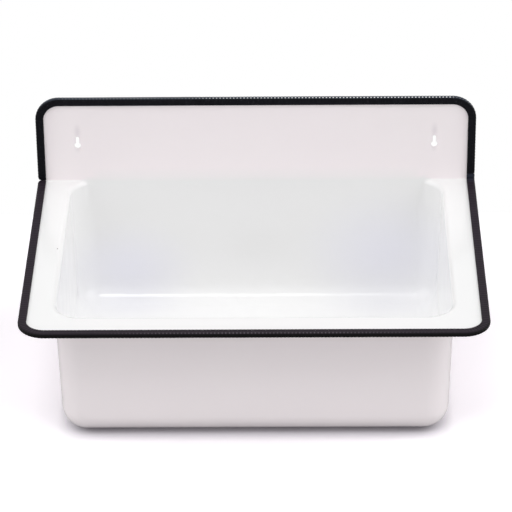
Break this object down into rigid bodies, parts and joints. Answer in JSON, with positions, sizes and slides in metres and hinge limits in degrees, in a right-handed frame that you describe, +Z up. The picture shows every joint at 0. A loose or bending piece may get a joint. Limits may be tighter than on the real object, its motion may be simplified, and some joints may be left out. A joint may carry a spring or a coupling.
{
  "type": "bucket sink",
  "caption": "Wall-hung enamelled steel bucket sink: rectangular bowl, flat rim, upturned splashback with keyholes, black edge strip and a strainer waste.",
  "frame": {"origin": "point on the wall's surface midway between the two wall screws, at the height at which they carry the keyhole slots", "axes": "+X to the right as seen from the front, +Y into the wall, +Z up"},
  "size_m": [0.51, 0.355, 0.323],
  "materials": {
    "enamel": "white vitreous enamel, fired glossy, a little uneven",
    "edge_plastic": "black soft PVC, satin, faint cross ribs from the core",
    "core_steel": "bare spring steel strip",
    "stainless": "polished stainless steel with fine turning marks",
    "seal_rubber": "dark grey moulded rubber",
    "waste_plastic": "white moulded polypropylene",
    "insert_brass": "turned brass"
  },
  "bodies": {
    "root": {"basin": "enamel", "rim_edging": "edge_plastic", "rim_edging_core": "core_steel", "splashback_edging": "edge_plastic", "splashback_edging_core": "core_steel", "strainer_plate": "stainless", "strainer_screw": "stainless", "strainer_seal": "seal_rubber", "waste_seal": "seal_rubber", "waste_body": "waste_plastic", "screw_insert": "insert_brass"}
  },
  "joints": []
}
